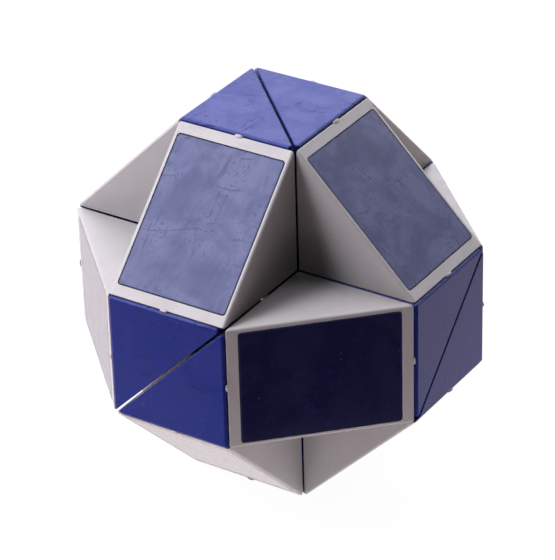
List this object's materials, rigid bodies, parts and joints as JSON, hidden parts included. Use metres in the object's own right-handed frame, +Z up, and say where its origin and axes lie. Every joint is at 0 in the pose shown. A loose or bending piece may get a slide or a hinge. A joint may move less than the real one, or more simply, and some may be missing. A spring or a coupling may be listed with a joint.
{
  "type": "twisty snake puzzle",
  "caption": "Folding chain of hollow half-cube wedges, white and blue by turns, hinged square face to square face on spring-loaded bolts and folded into a ball.",
  "frame": {"origin": "on the surface that the ball stands on, under its middle", "axes": "+Z up, normal to the top blue square; -Y out of the front blue square; +X out of the right one"},
  "size_m": [0.0658, 0.0658, 0.0658],
  "materials": {
    "white_plastic": "satin moulded",
    "blue_plastic": "glossy moulded, lightly scuffed",
    "blue_cover": "glossy moulded, scuffed and scratched",
    "bolt_steel": "zinc-plated steel"
  },
  "bodies": {
    "wedge_01": {"wedge_01_shell": "white_plastic", "wedge_01_cover": "blue_cover", "wedge_01_spring_bolts": "bolt_steel"},
    "wedge_02": {"wedge_02_shell": "blue_plastic", "wedge_02_cover": "blue_cover"},
    "wedge_03": {"wedge_03_shell": "white_plastic", "wedge_03_cover": "blue_cover", "wedge_03_spring_bolts": "bolt_steel"},
    "wedge_04": {"wedge_04_shell": "blue_plastic", "wedge_04_cover": "blue_cover"},
    "wedge_05": {"wedge_05_shell": "white_plastic", "wedge_05_cover": "blue_cover", "wedge_05_spring_bolts": "bolt_steel"},
    "wedge_06": {"wedge_06_shell": "blue_plastic", "wedge_06_cover": "blue_cover"},
    "wedge_07": {"wedge_07_shell": "white_plastic", "wedge_07_cover": "blue_cover", "wedge_07_spring_bolts": "bolt_steel"},
    "wedge_08": {"wedge_08_shell": "blue_plastic", "wedge_08_cover": "blue_cover"},
    "wedge_09": {"wedge_09_shell": "white_plastic", "wedge_09_cover": "blue_cover", "wedge_09_spring_bolts": "bolt_steel"},
    "wedge_10": {"wedge_10_shell": "blue_plastic", "wedge_10_cover": "blue_cover"},
    "wedge_11": {"wedge_11_shell": "white_plastic", "wedge_11_cover": "blue_cover", "wedge_11_spring_bolts": "bolt_steel"},
    "wedge_12": {"wedge_12_shell": "blue_plastic", "wedge_12_cover": "blue_cover"},
    "wedge_13": {"wedge_13_shell": "white_plastic", "wedge_13_cover": "blue_cover", "wedge_13_spring_bolts": "bolt_steel"},
    "wedge_14": {"wedge_14_shell": "blue_plastic", "wedge_14_cover": "blue_cover"},
    "wedge_15": {"wedge_15_shell": "white_plastic", "wedge_15_cover": "blue_cover", "wedge_15_spring_bolts": "bolt_steel"},
    "wedge_16": {"wedge_16_shell": "blue_plastic", "wedge_16_cover": "blue_cover"},
    "wedge_17": {"wedge_17_shell": "white_plastic", "wedge_17_cover": "blue_cover", "wedge_17_spring_bolts": "bolt_steel"},
    "wedge_18": {"wedge_18_shell": "blue_plastic", "wedge_18_cover": "blue_cover"},
    "wedge_19": {"wedge_19_shell": "white_plastic", "wedge_19_cover": "blue_cover", "wedge_19_spring_bolts": "bolt_steel"},
    "wedge_20": {"wedge_20_shell": "blue_plastic", "wedge_20_cover": "blue_cover"},
    "wedge_21": {"wedge_21_shell": "white_plastic", "wedge_21_cover": "blue_cover", "wedge_21_spring_bolts": "bolt_steel"},
    "wedge_22": {"wedge_22_shell": "blue_plastic", "wedge_22_cover": "blue_cover"},
    "wedge_23": {"wedge_23_shell": "white_plastic", "wedge_23_cover": "blue_cover", "wedge_23_spring_bolts": "bolt_steel"},
    "wedge_24": {"wedge_24_shell": "blue_plastic", "wedge_24_cover": "blue_cover"}
  },
  "joints": [
    {"name": "hinge_14", "type": "hinge", "parent": "wedge_15", "child": "wedge_14", "pos_m": [-0.022, 0, 0.04391], "axis": [0, 0, 1], "range_deg": [0, 180]},
    {"name": "hinge_15", "type": "hinge", "parent": "wedge_16", "child": "wedge_15", "pos_m": [-0.011, 0, 0.05491], "axis": [1, 0, 0], "range_deg": [0, 180]},
    {"name": "hinge_01", "type": "hinge", "parent": "wedge_02", "child": "wedge_01", "pos_m": [0.022, -0.011, 0.03291], "axis": [0, -1, 0], "range_deg": [0, 180]},
    {"name": "hinge_02", "type": "hinge", "parent": "wedge_03", "child": "wedge_02", "pos_m": [0.022, 0, 0.04391], "axis": [0, 0, 1], "range_deg": [0, 180]},
    {"name": "hinge_03", "type": "hinge", "parent": "wedge_04", "child": "wedge_03", "pos_m": [0.011, 0, 0.05491], "axis": [-1, 0, 0], "range_deg": [0, 180]},
    {"name": "hinge_04", "type": "hinge", "parent": "wedge_05", "child": "wedge_04", "pos_m": [0, 0.011, 0.05491], "axis": [0, -1, 0], "range_deg": [0, 180]},
    {"name": "hinge_05", "type": "hinge", "parent": "wedge_06", "child": "wedge_05", "pos_m": [0, 0.022, 0.04391], "axis": [0, 0, -1], "range_deg": [0, 180]},
    {"name": "hinge_06", "type": "hinge", "parent": "wedge_07", "child": "wedge_06", "pos_m": [0.011, 0.022, 0.03291], "axis": [-1, 0, 0], "range_deg": [0, 180]},
    {"name": "hinge_07", "type": "hinge", "parent": "wedge_08", "child": "wedge_07", "pos_m": [0.022, 0.011, 0.03291], "axis": [0, 1, 0], "range_deg": [0, 180]},
    {"name": "hinge_08", "type": "hinge", "parent": "wedge_09", "child": "wedge_08", "pos_m": [0.022, 0, 0.02191], "axis": [0, 0, -1], "range_deg": [0, 180]},
    {"name": "hinge_09", "type": "hinge", "parent": "wedge_10", "child": "wedge_09", "pos_m": [0.011, 0, 0.01091], "axis": [1, 0, 0], "range_deg": [0, 180]},
    {"name": "hinge_10", "type": "hinge", "parent": "wedge_11", "child": "wedge_10", "pos_m": [0, 0.011, 0.01091], "axis": [0, 1, 0], "range_deg": [0, 180]},
    {"name": "hinge_11", "type": "hinge", "parent": "wedge_12", "child": "wedge_11", "pos_m": [0, 0.022, 0.02191], "axis": [0, 0, 1], "range_deg": [0, 180]},
    {"name": "hinge_12", "type": "hinge", "parent": "wedge_13", "child": "wedge_12", "pos_m": [-0.011, 0.022, 0.03291], "axis": [1, 0, 0], "range_deg": [0, 180]},
    {"name": "hinge_13", "type": "hinge", "parent": "wedge_14", "child": "wedge_13", "pos_m": [-0.022, 0.011, 0.03291], "axis": [0, 1, 0], "range_deg": [0, 180]},
    {"name": "hinge_16", "type": "hinge", "parent": "wedge_16", "child": "wedge_17", "pos_m": [0, -0.011, 0.05491], "axis": [0, -1, 0], "range_deg": [0, 180]},
    {"name": "hinge_17", "type": "hinge", "parent": "wedge_17", "child": "wedge_18", "pos_m": [0, -0.022, 0.04391], "axis": [0, 0, 1], "range_deg": [0, 180]},
    {"name": "hinge_18", "type": "hinge", "parent": "wedge_18", "child": "wedge_19", "pos_m": [-0.011, -0.022, 0.03291], "axis": [-1, 0, 0], "range_deg": [0, 180]},
    {"name": "hinge_19", "type": "hinge", "parent": "wedge_19", "child": "wedge_20", "pos_m": [-0.022, -0.011, 0.03291], "axis": [0, 1, 0], "range_deg": [0, 180]},
    {"name": "hinge_20", "type": "hinge", "parent": "wedge_20", "child": "wedge_21", "pos_m": [-0.022, 0, 0.02191], "axis": [0, 0, 1], "range_deg": [0, 180]},
    {"name": "hinge_21", "type": "hinge", "parent": "wedge_21", "child": "wedge_22", "pos_m": [-0.011, 0, 0.01091], "axis": [1, 0, 0], "range_deg": [0, 180]},
    {"name": "hinge_22", "type": "hinge", "parent": "wedge_22", "child": "wedge_23", "pos_m": [0, -0.011, 0.01091], "axis": [0, 1, 0], "range_deg": [0, 180]},
    {"name": "hinge_23", "type": "hinge", "parent": "wedge_23", "child": "wedge_24", "pos_m": [0, -0.022, 0.02191], "axis": [0, 0, -1], "range_deg": [0, 180]}
  ],
  "couplings": [
    {"joint": "hinge_01", "follows": "hinge_15", "ratio": 1},
    {"joint": "hinge_02", "follows": "hinge_14", "ratio": 1},
    {"joint": "hinge_03", "follows": "hinge_15", "ratio": 1},
    {"joint": "hinge_04", "follows": "hinge_14", "ratio": 1},
    {"joint": "hinge_05", "follows": "hinge_15", "ratio": 1},
    {"joint": "hinge_06", "follows": "hinge_14", "ratio": 1},
    {"joint": "hinge_07", "follows": "hinge_15", "ratio": 1},
    {"joint": "hinge_08", "follows": "hinge_14", "ratio": 1},
    {"joint": "hinge_09", "follows": "hinge_15", "ratio": 1},
    {"joint": "hinge_10", "follows": "hinge_14", "ratio": 1},
    {"joint": "hinge_11", "follows": "hinge_15", "ratio": 1},
    {"joint": "hinge_12", "follows": "hinge_14", "ratio": 1},
    {"joint": "hinge_13", "follows": "hinge_15", "ratio": 1},
    {"joint": "hinge_16", "follows": "hinge_14", "ratio": 1},
    {"joint": "hinge_17", "follows": "hinge_15", "ratio": 1},
    {"joint": "hinge_18", "follows": "hinge_14", "ratio": 1},
    {"joint": "hinge_19", "follows": "hinge_15", "ratio": 1},
    {"joint": "hinge_20", "follows": "hinge_14", "ratio": 1},
    {"joint": "hinge_21", "follows": "hinge_15", "ratio": 1},
    {"joint": "hinge_22", "follows": "hinge_14", "ratio": 1},
    {"joint": "hinge_23", "follows": "hinge_15", "ratio": 1}
  ]
}
